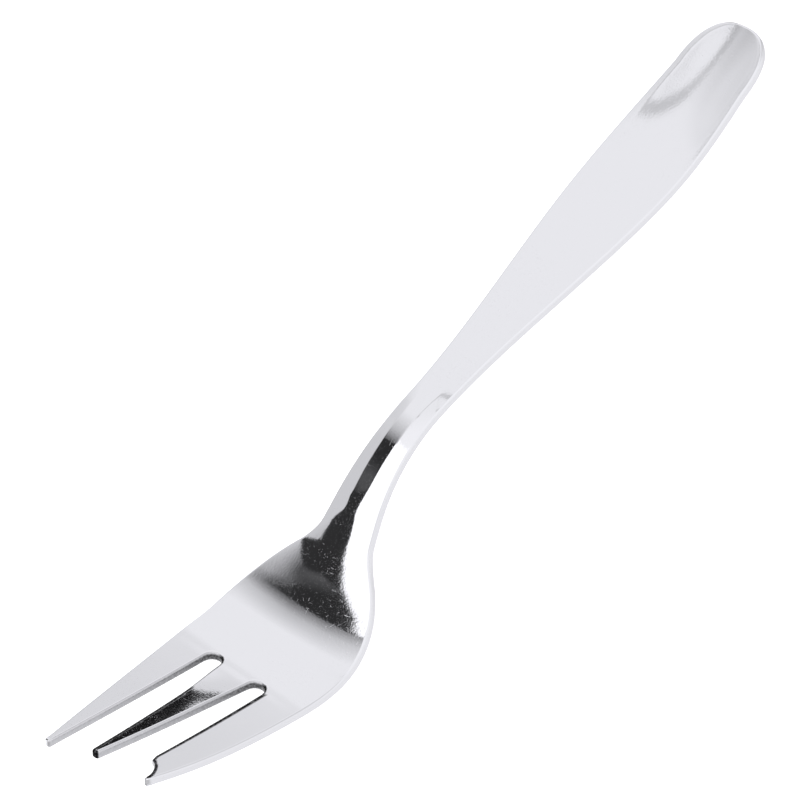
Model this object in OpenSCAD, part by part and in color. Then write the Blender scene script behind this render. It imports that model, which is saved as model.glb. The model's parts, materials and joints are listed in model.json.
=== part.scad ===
// Oyster fork stamped from one blank of stainless sheet, lying face up on a table.
// X runs along the fork, with the handle end at +X and the tines at -X.
// The cutting tine is at -Y. Lengths are in millimetres along the steel, and angles in degrees.

/* [Sheet] */
// Thickness of the sheet
thickness = 1.3; // [0.9:0.1:2]
// Rounding radius of the tumbled edges
edge_r = 0.4; // [0.1:0.05:0.4]

/* [Handle] */
// Length of the gently upturned end
end_len = 31; // [20:1:45]
// Angle by which the end turns up from the grip
end_turn = 10.5; // [6:0.5:16]
// Length of the straight grip
grip_len = 40; // [25:1:70]
// Width at the widest point
handle_w = 14.6; // [11:0.1:20]
// Distance of the widest point from the handle end
widest_at = 24; // [16:0.5:40]
// Length of the rounded tip of the handle
cap_len = 9.2; // [6:0.1:13]
// Width where the rounded tip begins
cap_w = 12.9; // [9:0.1:18]

/* [Neck] */
// Width at the narrowest point, where the grip ends
neck_w = 6.3; // [5.5:0.1:10]
// Radius of the bend down from the grip
neck_bend_r = 29; // [15:0.5:45]
// Angle by which the neck drops from the grip
drop = 34; // [20:0.5:45]
// Straight stretch between the two bends
neck_len = 6; // [2:0.5:15]
// Width in the middle of the straight stretch
throat_w = 9.4; // [7:0.1:14]
// Height of the crown along the middle of the neck
crown = 0.5; // [0.1:0.05:1]
// Width of the slope on each side of the crown
flank = 2; // [1:0.1:2.3]

/* [Palm] */
// Radius of the heel bend
heel_r = 21.5; // [15:0.5:40]
// Angle by which the tines rise above the line of the grip
rise = 26; // [10:0.5:35]
// Width where the flare is steepest
flare_w = 14.2; // [11:0.1:18]
// Distance from the start of the heel bend to the steepest flare
flare_at = 1.5; // [0.5:0.1:4]
// Greatest width of the head
head_w = 24.7; // [20:0.1:32]
// Distance from the start of the heel bend to the greatest width
head_at = 16; // [12:0.5:19]
// Width across the ends of the slots
root_w = 24.2; // [20:0.1:32]

/* [Tines] */
// Width of each slot at its round end
slot_w = 2.8; // [1.5:0.1:3.5]
// Distance between the centrelines of the two slots
slot_pitch = 8.5; // [7:0.1:10]
// Radius of the slight upward curve along the tines
tine_curve_r = 350; // [120:10:900]
// Length of the outer tine beyond the slot ends
outer_len = 29.5; // [22:0.5:40]
// Width of the outer tine's blunt tip
outer_tip_w = 1; // [0.6:0.1:2]
// Distance by which the outer tine's inner edge leans in
outer_lean = 0.55; // [0:0.05:1]
// Length of the middle tine beyond the slot ends
middle_len = 26.3; // [20:0.1:40]
// Width of the middle tine's squared tip
middle_tip_w = 1.2; // [0.6:0.1:2]
// Angle by which the middle tine is rolled over towards the outer tine
middle_roll = 6; // [0:0.5:10]
// Distance by which it is set over towards the cutting tine
middle_shift = 0.15; // [0:0.05:0.6]
// Distance beyond the slot ends at which it has rolled and set over
roll_len = 9; // [4:0.5:18]
// Length of the cutting tine beyond the slot ends
cutting_len = 25; // [20:0.5:40]
// Distance from the fork's axis to the cutting tine's point
cutting_tip_y = 9.2; // [7.8:0.1:11]
// Width of the cutting tine's point
cutting_tip_w = 0.6; // [0.4:0.1:1.5]
// Distance by which the cutting tine's inner edge leans out
cutting_lean = 0.4; // [0:0.05:1]
// Radius of the bite out of the cutting tine's tip
notch_r = 4.2; // [2:0.1:4.5]

/* [Hidden] */

steel = "gainsboro";
// Spacing of the cross-sections on the long gentle stretches, and on the tight ones
coarse_step = 3;
fine_step = 1.5;
// Facets of a slot's round end, which only the preview shows
slot_facets = 48;
// Angle between the points of a rounded edge, and of the handle's tip or a bite
edge_angle = 45;
arc_angle = 22.5;
// Roundness of the handle's tip: 2 would be an ellipse
cap_power = 2.5;
// Sideways widening per length of the outline at its stations
throat_slope = 0.15;
flare_slope = 0.8;
outer_root_slope = -0.17;
outer_tip_slope = -0.25;
outer_inner_slope = -0.05;
cutting_root_slope = -0.02;
cutting_tip_slope = -0.28;
middle_root_slope = -0.1;
middle_tip_slope = -0.09;
// Lengths over which the neck's crown grows out of the grip and fades into the heel
crown_in = 10;
crown_out = 9;
// Slope of the outline where the handle's rounded tip begins, against its mean slope to the widest point
cap_share = 1.5;
// Largest share of a sheet's or tine's thickness or width that one rounded edge may take
edge_share = 0.4;

// Distances along the steel from the handle end
function arc_length(r, angle) = r * angle * PI / 180;
slot_r = slot_w / 2;
grip_end = end_len + grip_len;
neck_at = grip_end + arc_length(neck_bend_r, drop);
heel_at = neck_at + neck_len;
root_at = heel_at + arc_length(heel_r, drop + rise);
tines_at = root_at + slot_r;
longest = max(outer_len, middle_len, cutting_len);

// The bends in order from the handle end: [length, angle turned upwards]
bends = [
    [end_len, end_turn],
    [grip_len, 0],
    [neck_at - grip_end, -drop],
    [neck_len, 0],
    [root_at - heel_at, drop + rise],
    [longest, longest / tine_curve_r * 180 / PI],
];

// A place is [x, z, heading]; the heading is measured upwards from -X
function ahead(place, distance, turn) =
    turn == 0
    ? [place[0] - distance * cos(place[2]), place[1] + distance * sin(place[2]), place[2]]
    : let (r = distance * 180 / (turn * PI), heading = place[2] + turn)
      [place[0] - r * (sin(heading) - sin(place[2])),
       place[1] - r * (cos(heading) - cos(place[2])),
       heading];

// Place on the middle of the sheet at a distance along the steel
function along(distance, place, i = 0) =
    i == len(bends) - 1 || distance <= bends[i][0]
    ? ahead(place, distance, bends[i][1] * distance / bends[i][0])
    : along(distance - bends[i][0], ahead(place, bends[i][0], bends[i][1]), i + 1);

// At rest the fork touches the table under the heel and near the handle end.
// The line that touches the heel's round underside and passes below the handle gives the tilt of the grip.
level_start = [0, 0, -end_turn];
heel_start = along(heel_at, level_start);
heel_centre = [heel_start[0] + heel_r * sin(heel_start[2]), heel_start[1] + heel_r * cos(heel_start[2])];
under_r = heel_r + thickness / 2;
function touch_angle(place) =
    let (dx = place[0] - sin(place[2]) * thickness / 2 - heel_centre[0],
         dz = place[1] - cos(place[2]) * thickness / 2 - heel_centre[1])
    atan2(dz, dx) + asin(under_r / norm([dx, dz]));
rest_tilt = min([for (d = [0:fine_step:grip_end]) touch_angle(along(d, level_start))]);
rest_start = [0, 0, rest_tilt - end_turn];

// Smooth curve between two stations, each [distance, value, slope]
function between(a, b, d) =
    let (span = b[0] - a[0], t = (d - a[0]) / span)
    (2 * t ^ 3 - 3 * t ^ 2 + 1) * a[1] + (t ^ 3 - 2 * t ^ 2 + t) * span * a[2]
    + (3 * t ^ 2 - 2 * t ^ 3) * b[1] + (t ^ 3 - t ^ 2) * span * b[2];
function through(stations, d, i = 0) =
    i == len(stations) - 2 || d <= stations[i + 1][0]
    ? between(stations[i], stations[i + 1], d)
    : through(stations, d, i + 1);
function ease(from, to, d) = let (t = min(1, max(0, (d - from) / (to - from)))) t * t * (3 - 2 * t);

// Half-width of the fork from the handle end to the slot ends, on the side with the given slope there
cap_slope = cap_share * (handle_w - cap_w) / 2 / (widest_at - cap_len);
function half_width(d, root_slope) =
    d < cap_len
    ? cap_w / 2 * (1 - (1 - d / cap_len) ^ cap_power) ^ (1 / cap_power)
    : through([
        [cap_len, cap_w / 2, cap_slope],
        [widest_at, handle_w / 2, 0],
        [grip_end, neck_w / 2, 0],
        [neck_at + neck_len / 2, throat_w / 2, throat_slope],
        [heel_at + flare_at, flare_w / 2, flare_slope],
        [heel_at + head_at, head_w / 2, 0],
        [root_at, root_w / 2, root_slope],
    ], d);

// Height of the crown, which the neck alone has
function crown_height(d) =
    crown * ease(grip_end, grip_end + crown_in, d) * (1 - ease(heel_at, heel_at + crown_out, d));

// Closed outline across the sheet between two edges, as [sideways, upwards], drawn in at a blunt end
function across(low_y, high_y, top, draw_in) =
    let (low = low_y + draw_in, high = high_y - draw_in,
         half = thickness / 2 - draw_in,
         r = min(edge_r, edge_share * 2 * half, edge_share * (high - low)),
         slope = min(flank, edge_share * (high - low - 2 * r)))
    concat(
        [for (t = [-90:edge_angle:0]) [high - r + r * cos(t), r - half + r * sin(t)]],
        [for (t = [0:edge_angle:90]) [high - r + r * cos(t), half - r + r * sin(t)]],
        [[high - r - slope, half + top], [low + r + slope, half + top]],
        [for (t = [90:edge_angle:180]) [low + r + r * cos(t), half - r + r * sin(t)]],
        [for (t = [180:edge_angle:270]) [low + r + r * cos(t), r - half + r * sin(t)]]);

// Cross-section in space at a distance along the steel, rolled over about the fork's axis and then set over
function section(d, low_y, high_y, draw_in = 0, roll = 0, shift = 0) =
    let (place = along(d, rest_start))
    [for (p = across(low_y, high_y, crown_height(d), draw_in))
        let (side = p[0] * cos(roll) + p[1] * sin(roll), up = p[1] * cos(roll) - p[0] * sin(roll))
        [place[0] + up * sin(place[2]), side - shift, place[1] + up * cos(place[2])]];

// Distances at which a stretch is cut, both ends included
function cuts(from, to, step) =
    let (n = ceil((to - from) / step))
    [for (i = [0:n]) from + (to - from) * i / n];
function after(first, list) = [for (d = list) if (d > first) d];

// How far a blunt end of the given width is drawn in
function tip_draw(width) = min(edge_r, width / 2) / 2;
cap_cuts = [for (t = [arc_angle / 2:arc_angle / 2:90]) cap_len * (1 - cos(t))];
handle_sections = concat(
    [section(0, -half_width(cap_cuts[0], 0), half_width(cap_cuts[0], 0), tip_draw(cap_w))],
    [for (d = concat(cap_cuts, after(cap_len, cuts(cap_len, grip_end, coarse_step))))
        section(d, -half_width(d, 0), half_width(d, 0))]);
neck_sections = [for (d = cuts(grip_end, heel_at, fine_step))
    section(d, -half_width(d, 0), half_width(d, 0))];
// Edges of the outer tine, as distances from the fork's axis, at a distance beyond the slot ends
slot_edge = slot_pitch / 2 + slot_r;
function outer_inner_edge(b) =
    between([slot_r, slot_edge, 0], [outer_len, slot_edge - outer_lean, outer_inner_slope], b);
outer_tip_y = outer_inner_edge(outer_len) + outer_tip_w;
function outer_outer_edge(b) =
    between([0, root_w / 2, outer_root_slope], [outer_len, outer_tip_y, outer_tip_slope], b);
outer_sections = concat(
    [for (b = cuts(slot_r, outer_len - edge_r, coarse_step))
        section(root_at + b, outer_inner_edge(b), outer_outer_edge(b))],
    [section(root_at + outer_len, outer_inner_edge(outer_len), outer_tip_y, tip_draw(outer_tip_w))]);

// Half-width of the middle tine, and the share of its roll and shift that it has taken
function middle_half(b) =
    between([slot_r, slot_pitch / 2 - slot_r, middle_root_slope],
        [middle_len, middle_tip_w / 2, middle_tip_slope], b);
function set_over(b) = ease(slot_r, roll_len, b);
middle_sections = concat(
    [for (b = cuts(slot_r, middle_len - edge_r, coarse_step))
        section(root_at + b, -middle_half(b), middle_half(b), 0, middle_roll * set_over(b),
            middle_shift * set_over(b))],
    [section(root_at + middle_len, -middle_tip_w / 2, middle_tip_w / 2, tip_draw(middle_tip_w),
        middle_roll, middle_shift)]);

// Edges of the cutting tine, as distances from the fork's axis; the bite is centred level with the point
function cutting_outer_edge(b) =
    between([0, root_w / 2, cutting_root_slope], [cutting_len, cutting_tip_y, cutting_tip_slope], b);
notch_y = cutting_tip_y - cutting_tip_w - notch_r;
function notch_edge(b) =
    cutting_len - b < notch_r ? notch_y + sqrt(notch_r ^ 2 - (cutting_len - b) ^ 2) : 0;
function cutting_inner_edge(b) =
    max(slot_edge + cutting_lean * (b - slot_r) / (cutting_len - slot_r), notch_edge(b));
notch_cuts = [for (t = [arc_angle / 2:arc_angle / 2:90 - arc_angle / 2]) cutting_len - notch_r * cos(t)];
cutting_cuts = concat(
    cuts(slot_r, cutting_len - notch_r, coarse_step),
    [for (b = notch_cuts) if (b < cutting_len - edge_r) b],
    [cutting_len - edge_r]);
cutting_sections = concat(
    [for (b = cutting_cuts) section(root_at + b, -cutting_outer_edge(b), -cutting_inner_edge(b))],
    [section(root_at + cutting_len, -cutting_tip_y, cutting_tip_w - cutting_tip_y,
        tip_draw(cutting_tip_w))]);

// The palm runs on to where the tines are free, past the round ends of the slots
palm_sections = concat(
    [for (d = cuts(heel_at, root_at, fine_step))
        section(d, -half_width(d, cutting_root_slope), half_width(d, outer_root_slope))],
    [section(tines_at, -cutting_outer_edge(slot_r), outer_outer_edge(slot_r))]);

// The origin is on the table, under the axis at the middle of the fork's length
every_section = concat(
    handle_sections, neck_sections, palm_sections, outer_sections, middle_sections, cutting_sections);
every_point = [for (ring = every_section) for (p = ring) p];
middle_of_length = (min([for (p = every_point) p[0]]) + max([for (p = every_point) p[0]])) / 2;
to_origin = [-middle_of_length, 0, -min([for (p = every_point) p[2]])];

// Solid skinned over a row of cross-sections
module skin(rings) {
    n = len(rings[0]);
    last = (len(rings) - 1) * n;
    points = [for (ring = rings) for (p = ring) p + to_origin];
    sides = [for (i = [0:len(rings) - 2]) for (j = [0:n - 1])
        let (a = i * n + j, b = i * n + (j + 1) % n)
        each [[a, b, b + n], [a, b + n, a + n]]];
    near_end = [for (j = [1:n - 2]) [0, j + 1, j]];
    far_end = [for (j = [1:n - 2]) [last, last + j, last + j + 1]];
    polyhedron(points, concat(sides, near_end, far_end));
}

module handle() { color(steel) skin(handle_sections); }
module neck() { color(steel) skin(neck_sections); }
// Round end of a slot, cut square through the sheet
module slot_end(y) {
    place = along(tines_at, rest_start);
    translate([place[0], y, place[1]] + to_origin)
        rotate([0, place[2], 0])
        cylinder(r = slot_r, h = 2 * thickness, center = true, $fn = slot_facets);
}
module palm() {
    color(steel) difference() {
        skin(palm_sections);
        for (side = [-1, 1]) slot_end(side * slot_pitch / 2);
    }
}
module outer_tine() { color(steel) skin(outer_sections); }
module middle_tine() { color(steel) skin(middle_sections); }
module cutting_tine() { color(steel) skin(cutting_sections); }

handle();
neck();
palm();
outer_tine();
middle_tine();
cutting_tine();
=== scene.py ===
"""Oyster fork: one mirror-polished stamping of stainless sheet, on a white table in a light tent."""
import json
import math

import bpy
from mathutils import Matrix, Vector


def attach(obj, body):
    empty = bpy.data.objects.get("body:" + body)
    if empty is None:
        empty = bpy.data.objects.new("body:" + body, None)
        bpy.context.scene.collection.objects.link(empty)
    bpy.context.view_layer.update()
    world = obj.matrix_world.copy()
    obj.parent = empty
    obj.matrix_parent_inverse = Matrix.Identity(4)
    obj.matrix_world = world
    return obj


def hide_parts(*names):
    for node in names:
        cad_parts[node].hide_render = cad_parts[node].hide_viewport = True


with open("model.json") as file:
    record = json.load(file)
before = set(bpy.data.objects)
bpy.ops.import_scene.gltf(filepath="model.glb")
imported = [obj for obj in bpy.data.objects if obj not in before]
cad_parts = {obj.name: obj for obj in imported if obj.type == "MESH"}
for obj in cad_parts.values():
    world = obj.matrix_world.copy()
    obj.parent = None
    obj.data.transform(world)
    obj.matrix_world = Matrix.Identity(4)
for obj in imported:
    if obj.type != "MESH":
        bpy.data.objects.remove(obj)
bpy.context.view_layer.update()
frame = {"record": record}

MM = 0.001

# Sizes of the stamping in millimetres and degrees, as the solids have them
THICKNESS = 1.3
EDGE_R = 0.4
END_LEN = 31
END_TURN = 10.5
GRIP_LEN = 40
HANDLE_W = 14.6
WIDEST_AT = 24
CAP_LEN = 9.2
CAP_W = 12.9
CAP_POWER = 2.5
CAP_SHARE = 1.5
NECK_W = 6.3
NECK_BEND_R = 29
DROP = 34
NECK_LEN = 6
THROAT_W = 9.4
THROAT_SLOPE = 0.15
HEEL_R = 21.5
RISE = 26
FLARE_W = 14.2
FLARE_AT = 1.5
FLARE_SLOPE = 0.8
HEAD_W = 24.7
HEAD_AT = 16
ROOT_W = 24.2
SLOT_W = 2.8
SLOT_PITCH = 8.5
TINE_CURVE_R = 350
OUTER_LEN = 29.5
OUTER_TIP_W = 1
OUTER_LEAN = 0.55
OUTER_INNER_SLOPE = -0.05
OUTER_ROOT_SLOPE = -0.17
OUTER_TIP_SLOPE = -0.25
MIDDLE_LEN = 26.3
MIDDLE_TIP_W = 1.2
MIDDLE_ROOT_SLOPE = -0.1
MIDDLE_TIP_SLOPE = -0.09
MIDDLE_ROLL = 6
MIDDLE_SHIFT = 0.15
ROLL_LEN = 9
CUTTING_LEN = 25
CUTTING_TIP_Y = 9.2
CUTTING_TIP_W = 0.6
CUTTING_LEAN = 0.4
CUTTING_ROOT_SLOPE = -0.02
CUTTING_TIP_SLOPE = -0.28
NOTCH_R = 4.2

# Largest share of a narrow tine's width that one rounded edge takes
EDGE_SHARE = 0.3
# The mesh: spacing of its rows, columns along each tine and slot, rows and length of the fan where the
# palm meets the slots, and steps round the handle's tip, the bite and an edge
HANDLE_STEP = 1.0
BEND_STEP = 0.5
TINE_STEP = 0.6
TINE_COLUMNS = 16
SLOT_COLUMNS = 8
FAN_ROWS = 8
FAN_LEN = 4
CAP_STEPS = 24
NOTCH_STEPS = 10
EDGE_STEPS = 4
# A distance too short to matter, for slopes, comparisons and staying inside the solids
SLIGHT = 0.01
# How far the tips stay inside the solids
TIP_DRAW = 0.15
# How far the middle tine leans more per millimetre of width, in degrees
MIDDLE_CURL = 1
# Painted shade in a slot's closed end, the distance from there at which half of it is gone, the width of
# face painted black along the slots' lips as a painted reflection, and how far along the middle tine its
# lip is painted black
MOST_PAINTED_SHADE = 0.8
PAINTED_SHADE_HALF = 14
LIP_W = 0.3
MIDDLE_LIP_AT = 7
# The angle round an edge, from the face, at which a lip ends and its wall begins, and how much of a
# wall's direction points ahead where it is a tine's end
LIP_TURN = math.radians(80)
END_FACING = 0.5

# The neck's ridge: its height, where it grows out of the grip and melts away, and its nearly flat top,
# which turns into the flanks over a short soft stretch
RIDGE = 0.5
RIDGE_FROM = 66
RIDGE_FULL = 78
RIDGE_FADE_AT = 84
RIDGE_END = 94
RIDGE_TOP_Y = 0.05
RIDGE_TOP_HALF = 1.25
RIDGE_SOFT = 0.25
# The rounded back that takes over from it: how far it leans more per millimetre of width, in degrees, and
# where it grows and fades
BACK_CURL = 4.5
BACK_FROM = 83
BACK_FULL = 90
BACK_FADE_AT = 86
BACK_FADE_LEN = 6
# The shallow cup of the handle end, whose sides are raised, in the same terms, the width of the flat rim
# round it, and the tip's upward curl per millimetre of length
CUP_CURL = 1.25
CUP_FADE_AT = 6
CUP_END = 24
RIM_W = 1.2
RIM_SOFT = 0.2
TIP_CURL = 0.12
TIP_LEN = 14


def arc_length(radius, angle):
    return radius * math.radians(angle)


SLOT_R = SLOT_W / 2
GRIP_END = END_LEN + GRIP_LEN
NECK_AT = GRIP_END + arc_length(NECK_BEND_R, DROP)
HEEL_AT = NECK_AT + NECK_LEN
ROOT_AT = HEEL_AT + arc_length(HEEL_R, DROP + RISE)
TINES_AT = ROOT_AT + SLOT_R
FAN_AT = TINES_AT - FAN_LEN

# The bends in order from the handle end: length along the steel, and angle turned upwards
BENDS = [
    (END_LEN, END_TURN),
    (GRIP_LEN, 0),
    (NECK_AT - GRIP_END, -DROP),
    (NECK_LEN, 0),
    (ROOT_AT - HEEL_AT, DROP + RISE),
    (OUTER_LEN, math.degrees(OUTER_LEN / TINE_CURVE_R)),
]


def ahead(place, distance, turn):
    """The place reached from [x, z, heading] along an arc; the heading is measured upwards from -X."""
    x, z, heading = place
    start = math.radians(heading)
    end = math.radians(heading + turn)
    if start == end:
        return x - distance * math.cos(start), z + distance * math.sin(start), heading
    radius = distance / (end - start)
    x -= radius * (math.sin(end) - math.sin(start))
    z -= radius * (math.cos(end) - math.cos(start))
    return x, z, heading + turn


def along(distance, place):
    """The place on the middle of the sheet at a distance along the steel."""
    for number, (length, turn) in enumerate(BENDS):
        if distance <= length or number == len(BENDS) - 1:
            return ahead(place, distance, turn * distance / length)
        place = ahead(place, length, turn)
        distance -= length


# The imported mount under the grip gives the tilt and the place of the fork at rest
grip_back = next(mount for mount in frame["record"]["mounts"] if mount["name"] == "grip_back")
outward = Vector(grip_back["axis"])
grip_middle = Vector(grip_back["pos_m"]) / MM - outward * THICKNESS / 2
start_heading = math.degrees(math.asin(-outward.x)) - END_TURN
loose_middle = along(END_LEN + GRIP_LEN / 2, (0, 0, start_heading))
START = (grip_middle.x - loose_middle[0], grip_middle.z - loose_middle[1], start_heading)


def between(a, b, d):
    """Smooth curve between two stations, each a distance, a value and a slope."""
    span = b[0] - a[0]
    t = (d - a[0]) / span
    return (
        (2 * t**3 - 3 * t**2 + 1) * a[1]
        + (t**3 - 2 * t**2 + t) * span * a[2]
        + (3 * t**2 - 2 * t**3) * b[1]
        + (t**3 - t**2) * span * b[2]
    )


def ease(start, end, d):
    """A soft step from 0 at the start to 1 at the end."""
    t = min(1, max(0, (d - start) / (end - start)))
    return t * t * (3 - 2 * t)


def spaced(start, end, step):
    """Evenly spaced values from start to end, both included."""
    count = math.ceil((end - start) / step)
    return [start + (end - start) * i / count for i in range(count + 1)]


# Outline of the blank: half-widths of the body, and edges of the tines beyond the slot ends
BODY_STATIONS = [
    (CAP_LEN, CAP_W / 2, CAP_SHARE * (HANDLE_W - CAP_W) / 2 / (WIDEST_AT - CAP_LEN)),
    (WIDEST_AT, HANDLE_W / 2, 0),
    (GRIP_END, NECK_W / 2, 0),
    (NECK_AT + NECK_LEN / 2, THROAT_W / 2, THROAT_SLOPE),
    (HEEL_AT + FLARE_AT, FLARE_W / 2, FLARE_SLOPE),
    (HEEL_AT + HEAD_AT, HEAD_W / 2, 0),
]
SLOT_EDGE = SLOT_PITCH / 2 + SLOT_R
OUTER_INNER_TIP = SLOT_EDGE - OUTER_LEAN
NOTCH_Y = CUTTING_TIP_Y - CUTTING_TIP_W - NOTCH_R


def outer_edge(b):
    return between(
        (0, ROOT_W / 2, OUTER_ROOT_SLOPE),
        (OUTER_LEN, OUTER_INNER_TIP + OUTER_TIP_W, OUTER_TIP_SLOPE),
        b,
    )


def outer_slot_edge(b):
    return between((SLOT_R, SLOT_EDGE, 0), (OUTER_LEN, OUTER_INNER_TIP, OUTER_INNER_SLOPE), b)


def middle_half(b):
    return between(
        (SLOT_R, SLOT_PITCH / 2 - SLOT_R, MIDDLE_ROOT_SLOPE),
        (MIDDLE_LEN, MIDDLE_TIP_W / 2, MIDDLE_TIP_SLOPE),
        b,
    )


def cutting_edge(b):
    return between(
        (0, ROOT_W / 2, CUTTING_ROOT_SLOPE),
        (CUTTING_LEN, CUTTING_TIP_Y, CUTTING_TIP_SLOPE),
        b,
    )


def cutting_slot_edge(b):
    return SLOT_EDGE + CUTTING_LEAN * (b - SLOT_R) / (CUTTING_LEN - SLOT_R)


def half_width(d, side):
    """Half-width of the handle, neck and palm, on the outer side (1) or the cutting side (-1)."""
    if d > ROOT_AT:
        return outer_edge(d - ROOT_AT) if side > 0 else cutting_edge(d - ROOT_AT)
    root_slope = OUTER_ROOT_SLOPE if side > 0 else CUTTING_ROOT_SLOPE
    stations = BODY_STATIONS + [(ROOT_AT, ROOT_W / 2, root_slope)]
    for a, b in zip(stations, stations[1:]):
        if d <= b[0]:
            return between(a, b, d)


def drawn_in(edge, d, radius):
    """How far the flat face's edge lies inside a sloping outline that is rounded over with a radius, and
    a hair more, so that the rounding stays inside the solids."""
    slope = (edge(d + SLIGHT) - edge(d - SLIGHT)) / (2 * SLIGHT)
    return SLIGHT + radius * math.sqrt(1 + slope**2)


def face_half(d, side):
    """Half-width of the flat face between the rounded edges."""
    slope_at = max(d, CAP_LEN + EDGE_R)
    return half_width(d, side) - drawn_in(lambda at: half_width(at, side), slope_at, EDGE_R)


class Blank:
    """The flat face of the blank: points (distance along the steel, sideways, edge radius) and faces."""

    def __init__(self):
        self.points = []
        self.faces = []

    def row(self, points):
        """Adds points and returns their numbers."""
        first = len(self.points)
        self.points += points
        return list(range(first, len(self.points)))

    def join(self, row, next_row):
        """Fills the strip between two rows that have the same number of points."""
        for i in range(len(row) - 1):
            self.faces.append((row[i], row[i + 1], next_row[i + 1], next_row[i]))


def lane_shares():
    """Shares of the way across a tine, closer together at its edges."""
    return [(1 - math.cos(math.pi * i / TINE_COLUMNS)) / 2 for i in range(TINE_COLUMNS + 1)]


def front_of_palm():
    """Where each column leaves the palm, from the cutting side to the outer side."""
    side_slot = SLOT_PITCH / 2
    slot_round = SLOT_R + EDGE_R + SLIGHT
    lanes = [
        (-face_half(TINES_AT, -1), -side_slot - slot_round),
        (-side_slot + slot_round, side_slot - slot_round),
        (side_slot + slot_round, face_half(TINES_AT, 1)),
    ]
    front = []
    for number, (low, high) in enumerate(lanes):
        front += [(TINES_AT, low + (high - low) * share) for share in lane_shares()]
        if number < len(lanes) - 1:
            centre = side_slot * (2 * number - 1)
            for i in range(1, SLOT_COLUMNS):
                angle = math.pi * i / SLOT_COLUMNS
                d = TINES_AT - slot_round * math.sin(angle)
                front.append((d, centre - slot_round * math.cos(angle)))
    return front


def cap_rows():
    """The rounded tip of the handle, as the distance and half-width of each row of the flat face."""
    rows = []
    for i in range(1, CAP_STEPS):
        angle = math.pi / 2 * i / CAP_STEPS
        ahead_share = math.cos(angle) ** (2 / CAP_POWER)
        side_share = math.sin(angle) ** (2 / CAP_POWER)
        slant = Vector((
            ahead_share ** (CAP_POWER - 1) / CAP_LEN,
            side_share ** (CAP_POWER - 1) / (CAP_W / 2),
        )).normalized()
        rows.append((
            CAP_LEN * (1 - ahead_share) + EDGE_R * slant.x,
            CAP_W / 2 * side_share - EDGE_R * slant.y,
        ))
    return rows


def lay_body(blank):
    """Handle, neck and palm; returns the palm's front row."""
    front = front_of_palm()
    shares = [y / face_half(d, math.copysign(1, y)) for d, y in front]
    pole = blank.row([(EDGE_R, 0, EDGE_R)])[0]
    last = None
    for d, half in cap_rows():
        row = blank.row([(d, share * half, EDGE_R) for share in shares])
        if last is None:
            blank.faces += [(pole, row[i + 1], row[i]) for i in range(len(row) - 1)]
        else:
            blank.join(last, row)
        last = row
    distances = spaced(CAP_LEN, GRIP_END, HANDLE_STEP) + spaced(GRIP_END, FAN_AT, BEND_STEP)[1:]
    for d in distances:
        row = blank.row([(d, share * face_half(d, math.copysign(1, share)), EDGE_R) for share in shares])
        blank.join(last, row)
        last = row
    for k in range(1, FAN_ROWS + 1):
        points = []
        for (front_d, _), share in zip(front, shares):
            d = FAN_AT + (front_d - FAN_AT) * k / FAN_ROWS
            points.append((d, share * face_half(d, math.copysign(1, share)), EDGE_R))
        row = blank.row(points)
        blank.join(last, row)
        last = row
    return last


def lay_tine(blank, root_row, low_edge, high_edge, distances, length):
    """One tine from its root row to its round tip; distances are beyond the slot ends."""
    last = root_row
    for b in distances:
        radius = min(EDGE_R, EDGE_SHARE * (high_edge(b) - low_edge(b)))
        low = low_edge(b) + drawn_in(low_edge, b, radius)
        high = high_edge(b) - drawn_in(high_edge, b, radius)
        row = blank.row([(ROOT_AT + b, low + (high - low) * share, radius) for share in lane_shares()])
        blank.join(last, row)
        last = row
    half = (high - low) / 2
    reach = length - TIP_DRAW - radius - b
    tip = []
    for i in range(TINE_COLUMNS + 1):
        angle = math.pi * i / TINE_COLUMNS
        side = (low + high) / 2 - half * math.cos(angle)
        tip.append((ROOT_AT + b + reach * math.sin(angle), side, radius))
    inner = blank.row(tip[1:-1])
    blank.join(last, [last[0]] + inner + [last[-1]])


def tine_distances(length, tip_w):
    """Rows of a plain tine, up to where its tip is rounded off."""
    return spaced(SLOT_R, length - tip_w / 2, TINE_STEP)[1:]


def cutting_inner_edge(b):
    """The slot's edge, then the bite out of the tip."""
    to_point = CUTTING_LEN - b
    slot = cutting_slot_edge(b)
    if abs(to_point) >= NOTCH_R:
        return slot
    return max(slot, NOTCH_Y + math.sqrt(NOTCH_R**2 - to_point**2))


def cutting_distances():
    """Rows of the cutting tine, with one at the corner where the bite begins."""
    corner_y = cutting_slot_edge(CUTTING_LEN - NOTCH_R) - NOTCH_Y
    corner = CUTTING_LEN - math.sqrt(NOTCH_R**2 - corner_y**2)
    end = CUTTING_LEN - CUTTING_TIP_W / 2
    start_angle = math.asin((CUTTING_LEN - corner) / NOTCH_R)
    end_angle = math.asin((CUTTING_LEN - end) / NOTCH_R)
    bite = [
        CUTTING_LEN - NOTCH_R * math.sin(start_angle + (end_angle - start_angle) * i / NOTCH_STEPS)
        for i in range(1, NOTCH_STEPS + 1)
    ]
    return spaced(SLOT_R, corner, TINE_STEP)[1:] + bite


def lay_blank():
    """The whole blank, with its tines from the cutting side to the outer side."""
    blank = Blank()
    front = lay_body(blank)
    tine = TINE_COLUMNS + 1
    middle_at = TINE_COLUMNS + SLOT_COLUMNS
    lay_tine(
        blank, front[:tine], lambda b: -cutting_edge(b), lambda b: -cutting_inner_edge(b),
        cutting_distances(), CUTTING_LEN,
    )
    lay_tine(
        blank, front[middle_at:middle_at + tine], lambda b: -middle_half(b), middle_half,
        tine_distances(MIDDLE_LEN, MIDDLE_TIP_W), MIDDLE_LEN,
    )
    lay_tine(
        blank, front[-tine:], outer_slot_edge, outer_edge,
        tine_distances(OUTER_LEN, OUTER_TIP_W), OUTER_LEN,
    )
    return blank


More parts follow.
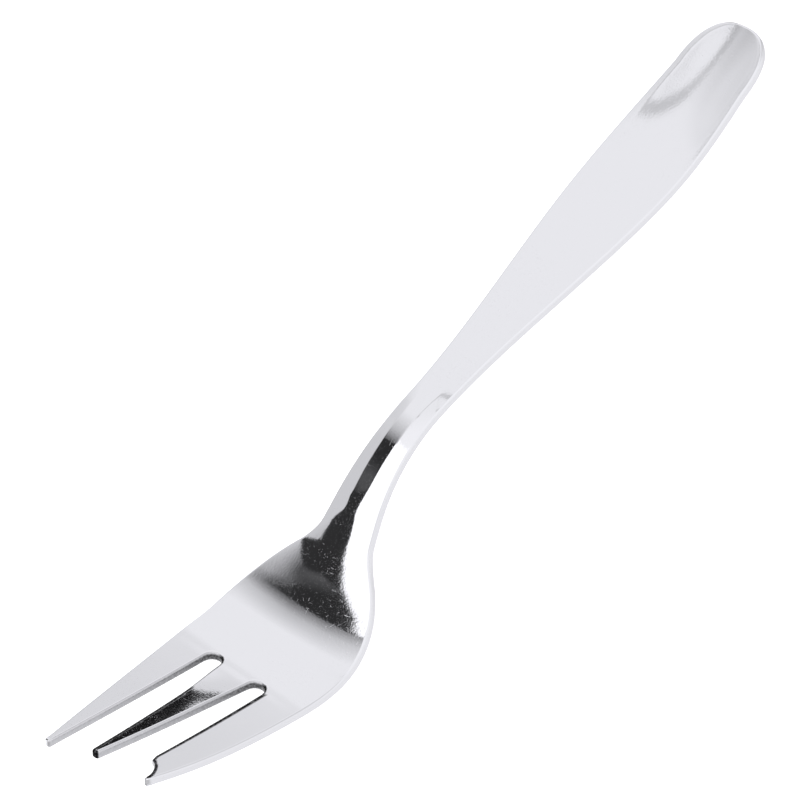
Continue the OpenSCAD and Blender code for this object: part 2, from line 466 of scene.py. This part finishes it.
def rim_of(blank):
    """The edge of the flat face as a loop of point numbers, with the outward direction at each."""
    follows = {}
    edges = {(face[i - 1], face[i]) for face in blank.faces for i in range(len(face))}
    for a, b in edges:
        if (b, a) not in edges:
            follows[a] = b
    loop = [min(follows)]
    while follows[loop[-1]] != loop[0]:
        loop.append(follows[loop[-1]])
    corners = [Vector(blank.points[i][:2]) for i in loop]
    area = sum(a.x * b.y - b.x * a.y for a, b in zip(corners, corners[1:] + corners[:1]))
    sign = math.copysign(1, area)
    outwards = []
    for i, corner in enumerate(corners):
        before = (corner - corners[i - 1]).normalized()
        after = (corners[(i + 1) % len(corners)] - corner).normalized()
        run = (before + after).normalized()
        outwards.append(sign * Vector((run.y, -run.x)))
    return loop, outwards


def flank_drop(away):
    """How far a slope of one in one has dropped at a distance from the middle of the ridge's top."""
    past = max(0, away - RIDGE_TOP_HALF + RIDGE_SOFT)
    soft = 2 * RIDGE_SOFT
    if past < soft:
        return soft * ((past / soft) ** 3 - (past / soft) ** 4 / 2)
    return past - RIDGE_SOFT


def crown(d, y):
    """Height of the neck's ridge and rounded back above the plain sheet."""
    if not RIDGE_FROM < d < TINES_AT:
        return 0
    side = math.copysign(1, y - RIDGE_TOP_Y)
    edge = side * face_half(d, side)
    ridge = RIDGE * ease(RIDGE_FROM, RIDGE_FULL, d) * (1 - ease(RIDGE_FADE_AT, RIDGE_END, d))
    drop = flank_drop(abs(y - RIDGE_TOP_Y)) / flank_drop(abs(edge - RIDGE_TOP_Y))
    curl = BACK_CURL * ease(BACK_FROM, BACK_FULL, d)
    curl *= math.exp(-max(0, d - BACK_FADE_AT) / BACK_FADE_LEN)
    return ridge * (1 - drop) + math.radians(curl) * (edge**2 - y**2) / 2


def end_half(d):
    """Half-width of the handle's end, the rounded tip included."""
    if d > CAP_LEN:
        return half_width(d, 1)
    return CAP_W / 2 * (1 - (1 - max(0, d) / CAP_LEN) ** CAP_POWER) ** (1 / CAP_POWER)


def cup(d, y):
    """How far the handle end's cup raises the sheet at its sides and its tip."""
    if d > CUP_END:
        return 0
    curl = CUP_CURL * (1 - ease(CUP_FADE_AT, CUP_END, d))
    rim = max(0, end_half(d) - RIM_W)
    past = abs(y) - rim
    reach = rim + (past - math.sqrt(past**2 + RIM_SOFT**2)) / 2
    return math.radians(curl) * reach**2 / 2 + math.radians(TIP_CURL) * max(0, TIP_LEN - d) ** 2 / 2


def slot_share(d, y):
    """How much painted shade a slot's walls get: most at the closed end, less to the tips, none outside.
    """
    if d < TINES_AT - SLOT_R - EDGE_R - 2 * SLIGHT:
        return 0
    b = max(SLOT_R, d - ROOT_AT)
    outer_middle = (outer_slot_edge(b) + outer_edge(b)) / 2
    cutting_middle = (cutting_inner_edge(b) + cutting_edge(b)) / 2
    if -cutting_middle < y < outer_middle:
        return MOST_PAINTED_SHADE / (1 + (b - SLOT_R) / PAINTED_SHADE_HALF)
    return 0


def lip(d, y):
    """1 on the strip of face along a slot's lip that is turned to the outer side, where black is painted
    as a painted reflection, 0 elsewhere.
    """
    b = d - ROOT_AT
    if b < SLOT_R:
        return 0
    edges = [-cutting_inner_edge(b)]
    if MIDDLE_LIP_AT < b < MIDDLE_LEN:
        edges.append(middle_half(b))
    return int(any(0 <= edge - y <= EDGE_R + LIP_W for edge in edges))


def edge_painted_dark(d, y, way, turn, face_side):
    """How black an edge is painted at an angle round it, from the face. The lips turned to the outer side
    and the middle tine's end are painted all black, as a painted reflection, and a slot's walls get their
    share of painted shade."""
    share = slot_share(d, y)
    on_lip = face_side > 0 and turn < LIP_TURN and way.y > 0 and share > 0
    in_middle = abs(y) < SLOT_PITCH / 2
    at_end = in_middle and way.x > END_FACING and d > ROOT_AT + MIDDLE_LEN - MIDDLE_TIP_W
    return 1 if on_lip or at_end else share * math.sin(turn) ** 2


def set_over(d, y):
    """Share of its roll, curl and sideways set that a point has; only the middle tine has any."""
    if d < TINES_AT or abs(y) > SLOT_PITCH / 2:
        return 0
    return ease(SLOT_R, ROLL_LEN, d - ROOT_AT)


def in_space(d, y, height):
    """A point of the bent sheet in metres, from its distance, sideways place and height off mid-sheet."""
    x, z, heading = along(d, START)
    share = set_over(d, y)
    roll = math.radians(MIDDLE_ROLL * share)
    side = y * math.cos(roll) + height * math.sin(roll) - MIDDLE_SHIFT * share
    up = height * math.cos(roll) - y * math.sin(roll) + cup(d, y)
    up -= math.radians(MIDDLE_CURL * share) * y**2 / 2
    tilt = math.radians(heading)
    return (x + up * math.sin(tilt)) * MM, side * MM, (z + up * math.cos(tilt)) * MM


def make_fork():
    """The stamping as one mesh: both faces of the blank, and the rounded edge that joins them."""
    blank = lay_blank()
    loop, outwards = rim_of(blank)
    half = THICKNESS / 2
    count = len(blank.points)
    verts = [in_space(d, y, half + crown(d, y)) for d, y, _ in blank.points]
    verts += [in_space(d, y, -half) for d, y, _ in blank.points]
    wall = [0.0] * len(verts)
    # How black each point is painted: painted reflection along the slots' lips and the middle tine's end,
    # and painted shade on the slot walls, most in their closed ends
    painted_dark = [lip(d, y) for d, y, _ in blank.points] + [0.0] * count
    faces = list(blank.faces) + [tuple(i + count for i in reversed(face)) for face in blank.faces]
    turns = [math.pi / 2 * i / EDGE_STEPS for i in range(1, EDGE_STEPS + 1)]
    profile = [(turn, 1) for turn in turns] + [(turn, -1) for turn in reversed(turns)]
    rings = [loop]
    for turn, face_side in profile:
        ring = []
        for number, way in zip(loop, outwards):
            d, y, radius = blank.points[number]
            out = radius * math.sin(turn)
            height = face_side * (half - radius * (1 - math.cos(turn)))
            ring.append(len(verts))
            verts.append(in_space(d + way.x * out, y + way.y * out, height))
            wall.append(math.sin(turn) ** 2)
            painted_dark.append(edge_painted_dark(d, y, way, turn, face_side))
        rings.append(ring)
    rings.append([number + count for number in loop])
    for ring, next_ring in zip(rings, rings[1:]):
        for i in range(len(loop)):
            faces.append((ring[i - 1], ring[i], next_ring[i], next_ring[i - 1])[::-1])
    mesh = bpy.data.meshes.new("fork")
    mesh.from_pydata(verts, [], faces)
    mesh.validate()
    for name, values in (("wall", wall), ("painted_dark", painted_dark)):
        mesh.attributes.new(name, "FLOAT", "POINT").data.foreach_set("value", values)
    mesh.polygons.foreach_set("use_smooth", [True] * len(mesh.polygons))
    fork = bpy.data.objects.new("fork", mesh)
    bpy.context.scene.collection.objects.link(fork)
    return fork


fork = make_fork()


def linear(hex_colour):
    """Linear colour of an sRGB hex value."""
    parts = [int(hex_colour[i:i + 2], 16) / 255 for i in (1, 3, 5)]
    return [c / 12.92 if c <= 0.04045 else ((c + 0.055) / 1.055) ** 2.4 for c in parts] + [1]


def add_node(tree, kind, settings=None, **inputs):
    """A node with its settings. An input, by name or as _number, takes a value, a socket or a node."""
    node = tree.nodes.new(kind)
    for name, value in (settings or {}).items():
        setattr(node, name, value)
    for name, value in inputs.items():
        socket = node.inputs[int(name[1:])] if name[0] == "_" else node.inputs[name.replace("_", " ")]
        if isinstance(value, bpy.types.Node):
            value = value.outputs[0]
        if isinstance(value, bpy.types.NodeSocket):
            tree.links.new(value, socket)
        else:
            socket.default_value = value
    return node


# Colours of the bare steel and of the black painted into the slots and along their lips, as painted
# shade and painted reflection
STEEL_COLOUR = "#E3E3E8"
PAINTED_DARK_COLOUR = "#141416"
# Pattern sizes of the steel's finish, in millimetres
RIPPLE_SIZE = 7
GRAIN_SIZE = 0.3
SPECK_SIZE = 0.16
MOTTLE_SIZE = 0.35
SCRATCH_LEN = 1.5
# Real scratches are a few hundredths of a millimetre wide; these are drawn coarser so that they show
SCRATCH_W = 0.09
# Directions of the scratches, in degrees
SCRATCH_TURNS = (10, 55, 100, 150)
# Heights of the ripple and the grain, in millimetres
RIPPLE_DEPTH = 0.02
GRAIN_DEPTH = 0.003
# Noise levels at which a mark begins and is full, and at which the steel is little or much worn, and the
# share of its marks that little worn steel shows
MARK_LEVELS = (0.76, 0.85)
WORN_LEVELS = (0.35, 0.65)
LEAST_WORN = 0.25
# Roughness of the mirror, and what a mark, a wall and the painted shade in a slot add to it
MIRROR_ROUGH = 0.06
MARK_ROUGH = 0.26
WALL_ROUGH = 0.16
PAINTED_DARK_ROUGH = 0.35
# How strongly the painted shade covers the steel: everywhere, and more where the mottle is high
PAINTED_DARK_COVER = 0.55
PAINTED_DARK_MOTTLE = 0.9


def per_metre(size):
    """Texture scale for a pattern of a size in millimetres."""
    return 1 / (size * MM)


def polished_stainless():
    """Stainless sheet, blanked, bent and tumbled to a mirror. The faces show their surroundings almost
    sharply, a little rippled, with handling scratches and specks that catch the light. The sheared walls
    are duller. Black is painted into the pierced slots as painted shade, most of all in their closed
    ends, and along their lips and the middle tine's end as painted reflection."""
    material = bpy.data.materials.new("polished_stainless")
    material.use_nodes = True
    tree = material.node_tree
    shader = tree.nodes["Principled BSDF"]
    shader.inputs["Metallic"].default_value = 1
    place = add_node(tree, "ShaderNodeTexCoord").outputs["Object"]
    wall = add_node(tree, "ShaderNodeAttribute", {"attribute_name": "wall"}).outputs["Fac"]
    # How black the steel is painted, as painted shade in the slots and painted reflection on the lips
    painted_dark = add_node(tree, "ShaderNodeAttribute", {"attribute_name": "painted_dark"}).outputs["Fac"]

    # Specks and scratches, fewer where the steel is little worn
    smooth = {"interpolation_type": "SMOOTHSTEP"}
    low, high = MARK_LEVELS
    specks = add_node(tree, "ShaderNodeTexNoise", Vector=place, Scale=per_metre(SPECK_SIZE), Detail=1)
    marks = add_node(tree, "ShaderNodeMapRange", smooth, Value=specks, From_Min=low, From_Max=high)
    for turn in SCRATCH_TURNS:
        stretched = add_node(
            tree, "ShaderNodeMapping", {"vector_type": "TEXTURE"}, Vector=place,
            Rotation=(0, 0, math.radians(turn)), Scale=(SCRATCH_LEN / SCRATCH_W, 1, 1),
        )
        lines = add_node(
            tree, "ShaderNodeTexNoise", Vector=stretched, Scale=per_metre(SCRATCH_W), Detail=0,
        )
        lines = add_node(tree, "ShaderNodeMapRange", smooth, Value=lines, From_Min=low, From_Max=high)
        marks = add_node(tree, "ShaderNodeMath", {"operation": "MAXIMUM"}, _0=marks, _1=lines)
    low, high = WORN_LEVELS
    ripple = add_node(tree, "ShaderNodeTexNoise", Vector=place, Scale=per_metre(RIPPLE_SIZE), Detail=1)
    worn = add_node(
        tree, "ShaderNodeMapRange", smooth, Value=ripple, From_Min=low, From_Max=high, To_Min=LEAST_WORN,
    )
    marks = add_node(tree, "ShaderNodeMath", {"operation": "MULTIPLY"}, _0=marks, _1=worn)

    # Duller on the walls, dullest under the painted shade, and where a mark breaks the polish
    multiply_add = {"operation": "MULTIPLY_ADD"}
    rough = add_node(tree, "ShaderNodeMath", multiply_add, _0=marks, _1=MARK_ROUGH, _2=MIRROR_ROUGH)
    rough = add_node(tree, "ShaderNodeMath", multiply_add, _0=wall, _1=WALL_ROUGH, _2=rough)
    rough = add_node(tree, "ShaderNodeMath", multiply_add, _0=painted_dark, _1=PAINTED_DARK_ROUGH, _2=rough)
    tree.links.new(rough.outputs[0], shader.inputs["Roughness"])

    # Bright steel, and patchy black painted over it: painted shade in the slots, painted reflection on
    # the lips
    mottle = add_node(tree, "ShaderNodeTexNoise", Vector=place, Scale=per_metre(MOTTLE_SIZE), Detail=3)
    cover = add_node(
        tree, "ShaderNodeMath", multiply_add, _0=mottle, _1=PAINTED_DARK_MOTTLE, _2=PAINTED_DARK_COVER,
    )
    cover = add_node(tree, "ShaderNodeMath", {"operation": "MULTIPLY"}, _0=cover, _1=painted_dark)
    steel = add_node(
        tree, "ShaderNodeMix", {"data_type": "RGBA"},
        _0=cover, _6=linear(STEEL_COLOUR), _7=linear(PAINTED_DARK_COLOUR),
    )
    tree.links.new(steel.outputs[2], shader.inputs["Base Color"])

    # Ripple and fine grain of the tumbled surface
    grain = add_node(tree, "ShaderNodeTexNoise", Vector=place, Scale=per_metre(GRAIN_SIZE), Detail=2)
    height = add_node(tree, "ShaderNodeMath", {"operation": "MULTIPLY"}, _0=grain, _1=GRAIN_DEPTH)
    height = add_node(tree, "ShaderNodeMath", multiply_add, _0=ripple, _1=RIPPLE_DEPTH, _2=height)
    bump = add_node(tree, "ShaderNodeBump", Height=height, Distance=MM)
    tree.links.new(bump.outputs[0], shader.inputs["Normal"])
    return material


fork.data.materials.append(polished_stainless())
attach(fork, "root")
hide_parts("handle", "neck", "palm", "outer_tine", "middle_tine", "cutting_tine")


# Distances of the tent's linings, the sheet under the table, the drapes before the linings and the lamp
# by the handle end, in metres
LINING_DISTANCE = 3.0
UNDER_DISTANCE = 1.0
DRAPE_DISTANCE = 2.0
FOLD_DISTANCE = 1.9
BOWL_DRAPE_DISTANCE = 0.2
LAMP_FRAME_DISTANCE = 0.31
LAMP_DISTANCE = 0.3
# Places on the fork that the panels are laid out from, in metres
FORK_MIDDLE = Vector((0, 0, 0))
HANDLE_END = Vector((0.062, 0.003, 0.003))
BOWL = Vector((-0.016, 0, 0.006))


def panel(name, distance, corners, seen_from=FORK_MIDDLE):
    """A panel that only reflections see. Each corner is its azimuth from the handle end to the outer side
    and its elevation, in degrees as seen from a place on the fork, and how brightly it glows."""
    mesh = bpy.data.meshes.new(name)
    places = []
    for azimuth, elevation, _ in corners:
        az = math.radians(azimuth)
        el = math.radians(elevation)
        way = Vector((math.cos(az) * math.cos(el), math.sin(az) * math.cos(el), math.sin(el)))
        places.append(seen_from + distance * way)
    mesh.from_pydata(places, [], [tuple(range(len(corners)))])
    glow = mesh.attributes.new("glow", "FLOAT", "POINT")
    glow.data.foreach_set("value", [corner[2] for corner in corners])
    material = bpy.data.materials.new(name)
    material.use_nodes = True
    tree = material.node_tree
    tree.nodes.remove(tree.nodes["Principled BSDF"])
    reading = add_node(tree, "ShaderNodeAttribute", {"attribute_name": "glow"})
    light = add_node(tree, "ShaderNodeEmission", Strength=reading.outputs["Fac"])
    tree.links.new(light.outputs[0], tree.nodes["Material Output"].inputs["Surface"])
    mesh.materials.append(material)
    lining = bpy.data.objects.new(name, mesh)
    bpy.context.scene.collection.objects.link(lining)
    for ray in ("camera", "diffuse", "transmission", "volume_scatter", "shadow"):
        setattr(lining, "visible_" + ray, False)


def alike(glow, places):
    """Corners that all glow alike, from their azimuths and elevations."""
    return [(azimuth, elevation, glow) for azimuth, elevation in places]


# How brightly the linings glow: lit cloth, cloth further into the shade, and the dark beyond the opening
BRIGHT = 1.12
PALE = 1.04
SOFT = 0.87
DIM = 0.76
GREY = 0.6
DEEP = 0.48
SHADE = 0.3
FOLD = 0.1
DARK = 0.03
BLACK = 0.01

# The far side, lit up to its corner and falling into shade towards the opening
LININGS = {
    "far_low": alike(SOFT, [(10, -14), (60, -14), (60, 10), (10, 10)]),
    "far_hem": [(10, 10, SOFT), (60, 10, SOFT), (60, 15.5, PALE), (10, 15.5, PALE)],
    "far": alike(PALE, [(10, 15.5), (60, 15.5), (60, 53), (10, 56)]),
    "far_roof": [(10, 56, PALE), (60, 53, PALE), (77, 60, DIM), (77, 76, BRIGHT), (10, 76, BRIGHT)],
    "corner_low": [(60, 2, PALE), (77, 2, SOFT), (77, 46, DIM), (60, 46, PALE)],
    "corner": [(60, 46, PALE), (77, 46, DIM), (77, 53, GREY), (60, 53, PALE)],
    "corner_roof": [(60, 53, PALE), (77, 53, GREY), (77, 60, DIM)],
    "side_low": [(77, 2, SOFT), (90, 2, DIM), (90, 46, DIM), (77, 46, DIM)],
    "side": [(77, 46, DIM), (90, 46, DIM), (90, 51, DARK), (77, 53, GREY)],
    "side_roof": [(77, 53, GREY), (90, 51, DARK), (90, 61, SHADE), (77, 60, DIM)],
    "side_top": [(77, 60, DIM), (90, 61, SHADE), (90, 76, BRIGHT), (77, 76, BRIGHT)],
    "opening_low": [
        (90, 2, DIM), (130, 2, DIM), (127, 31, GREY), (117, 35, DIM), (104, 43, DIM), (90, 46, DIM),
    ],
    "opening": [(90, 46, DIM), (104, 43, DIM), (104, 51, DARK), (90, 51, DARK)],
    "opening_edge": [(104, 43, DIM), (117, 35, DIM), (119, 43, DARK), (104, 51, DARK)],
    "skirt": alike(SHADE, [(84, -16), (122, -16), (122, 2), (84, 2)]),
}
for name, corners in LININGS.items():
    panel(name + "_lining", LINING_DISTANCE, corners)

# Elevations of the near side's foot, middle and top, and of the corners of the sheet under the table
NEAR_FOOT = -68
NEAR_MIDDLE = 0
NEAR_TOP = 58
UNDER_ELEVATION = -62

# The near side, pale below, brighter above and shaded at its ends, and a pale sheet under the table
NEAR_LININGS = {
    "left": ((-160, GREY, SOFT), (-100, PALE, BRIGHT)),
    "middle": ((-100, PALE, BRIGHT), (-40, PALE, BRIGHT)),
    "right": ((-40, PALE, BRIGHT), (10, GREY, DIM)),
}
for name, ((start, start_low, start_high), (end, end_low, end_high)) in NEAR_LININGS.items():
    panel(f"near_low_lining_{name}", LINING_DISTANCE, [
        (start, NEAR_FOOT, PALE), (end, NEAR_FOOT, PALE),
        (end, NEAR_MIDDLE, end_low), (start, NEAR_MIDDLE, start_low),
    ])
    panel(f"near_lining_{name}", LINING_DISTANCE, [
        (start, NEAR_MIDDLE, start_low), (end, NEAR_MIDDLE, end_low),
        (end, NEAR_TOP, end_high), (start, NEAR_TOP, start_high),
    ])
panel("near_roof", LINING_DISTANCE, alike(BRIGHT, [
    (-160, NEAR_TOP), (-100, NEAR_TOP), (-40, NEAR_TOP), (10, NEAR_TOP),
    (10, 76), (77, 76), (60, 86), (-160, 80),
]))
panel("under_lining", UNDER_DISTANCE, [(turn, UNDER_ELEVATION, PALE) for turn in (0, 90, 180, 270)])

# Grey cloth beyond the tines, so that the fork stands out when it is seen from its handle end
panel("outer_end_lining", LINING_DISTANCE, [
    (152, -14, GREY), (180, -14, GREY), (180, 38, DIM), (165, 30, DIM), (152, 22, DIM),
])
panel("cutting_end_lining", LINING_DISTANCE, [
    (180, -14, GREY), (208, -14, GREY), (208, 45, DIM), (180, 38, DIM),
])

# The dark opening and its folds. Its low part hangs near the bowl, with pale cloth behind it, so that
# little else mirrors it
panel("black_drape", DRAPE_DISTANCE, alike(DARK, [
    (90, 61), (90, 51), (104, 51), (117.5, 43.5), (116.5, 36), (123, 36), (126, 42.5), (133.5, 44.5),
    (132, 46.5), (124, 52.5), (115, 57.5), (106, 60.5),
]))
panel("bowl_drape", BOWL_DRAPE_DISTANCE, alike(DARK, [
    (117.5, 43.5), (116.5, 32.5), (126.5, 31), (126, 24.5), (122.5, 17), (134, 17), (148, 31), (142, 35),
    (132, 46.5),
]), BOWL)
panel("behind_bowl_drape", LINING_DISTANCE, [
    (118, 43, DIM), (117, 33, SOFT), (127, 31.5, SOFT), (126.5, 25, SOFT), (123, 17, SOFT),
    (131, 17, SOFT), (144, 30, DIM), (138, 35, DIM), (129, 45, GREY),
])
panel("drape_fold", FOLD_DISTANCE, [
    (105, 50, FOLD), (112, 47.5, FOLD), (121, 49, FOLD),
    (121, 55, DARK), (114, 54.5, DARK), (106, 52.5, DARK),
])
panel("drape_fold_top", FOLD_DISTANCE, [
    (112, 47.5, FOLD), (118, 43.5, DARK), (122, 45, DARK), (121, 49, FOLD),
])

# A dark gap low on the far side, and a lamp in a grey frame by the handle end
panel("low_drape", DRAPE_DISTANCE, alike(BLACK, [
    (39.5, -15), (52, -15), (49.5, 0), (48.5, 7.2), (39.5, 7.2),
]))
panel("lamp_frame", LAMP_FRAME_DISTANCE, [
    (61.3, 55, DIM), (61.3, 52.5, GREY), (63, 52.5, GREY), (66, 53.8, DIM), (69, 54.4, DIM),
    (72, 55.5, GREY), (73.3, 56.5, DEEP), (72.5, 59.5, DEEP), (71, 62.3, DEEP), (66.5, 64.3, GREY),
    (62.5, 64.5, GREY), (61.8, 60, DIM),
], HANDLE_END)
panel("lamp", LAMP_DISTANCE, alike(PALE, [
    (62, 55), (64, 55.5), (67.5, 56.5), (70.5, 57), (71.5, 58), (70.5, 61), (66.5, 63), (63, 63.5),
    (62.7, 60), (62.5, 57),
]), HANDLE_END)

# The table: half its width in metres, its colour, its roughness and how strongly it glows
TABLE_HALF = 2.5
TABLE_COLOUR = "#F4F4F4"
TABLE_ROUGH = 0.9
TABLE_GLOW = 0.4
# The light of the tent: its colour, which is the table's glow too, and its strength
LIGHT_COLOUR = "#FFFFFF"
TENT_STRENGTH = 1.45


def make_floor():
    """A light table of matt white acrylic. It glows a little, so that shadows all but vanish, and the
    steel does not mirror it."""
    half = TABLE_HALF
    mesh = bpy.data.meshes.new("floor")
    corners = [(-half, -half, 0), (half, -half, 0), (half, half, 0), (-half, half, 0)]
    mesh.from_pydata(corners, [], [(0, 1, 2, 3)])
    floor = bpy.data.objects.new("floor", mesh)
    bpy.context.scene.collection.objects.link(floor)
    material = bpy.data.materials.new("white_acrylic")
    material.use_nodes = True
    shader = material.node_tree.nodes["Principled BSDF"]
    shader.inputs["Base Color"].default_value = linear(TABLE_COLOUR)
    shader.inputs["Roughness"].default_value = TABLE_ROUGH
    shader.inputs["Emission Color"].default_value = linear(LIGHT_COLOUR)
    shader.inputs["Emission Strength"].default_value = TABLE_GLOW
    mesh.materials.append(material)
    floor.visible_glossy = False


make_floor()

# Soft light from all round, as in a light tent
world = bpy.data.worlds.new("light_tent")
world.use_nodes = True
tent = world.node_tree.nodes["Background"]
tent.inputs["Color"].default_value = linear(LIGHT_COLOUR)
tent.inputs["Strength"].default_value = TENT_STRENGTH
bpy.context.scene.world = world
bpy.context.scene.view_settings.view_transform = "Standard"

# The camera stands on the cutting side, above the fork, and is rolled so that the fork runs up to the
# right. Its angles are in degrees and its lengths in millimetres
CAMERA_AZIMUTH = -13.81
CAMERA_ELEVATION = 53.38
CAMERA_ROLL = -41.57
CAMERA_DISTANCE = 620
CAMERA_AIM = (-3.317, 0.16, 11.39)
CAMERA_LENS = 204.7
CAMERA_SENSOR = 36
CAMERA_NEAREST = 10


def make_camera():
    data = bpy.data.cameras.new("camera")
    data.lens = CAMERA_LENS
    data.sensor_width = CAMERA_SENSOR
    data.clip_start = CAMERA_NEAREST * MM
    camera = bpy.data.objects.new("camera", data)
    bpy.context.scene.collection.objects.link(camera)
    az = math.radians(CAMERA_AZIMUTH)
    el = math.radians(CAMERA_ELEVATION)
    back = Vector((math.sin(az) * math.cos(el), -math.cos(az) * math.cos(el), math.sin(el)))
    camera.matrix_world = (
        Matrix.Translation((Vector(CAMERA_AIM) + back * CAMERA_DISTANCE) * MM)
        @ (-back).to_track_quat("-Z", "Y").to_matrix().to_4x4()
        @ Matrix.Rotation(math.radians(CAMERA_ROLL), 4, "Z")
    )
    bpy.context.scene.camera = camera


make_camera()
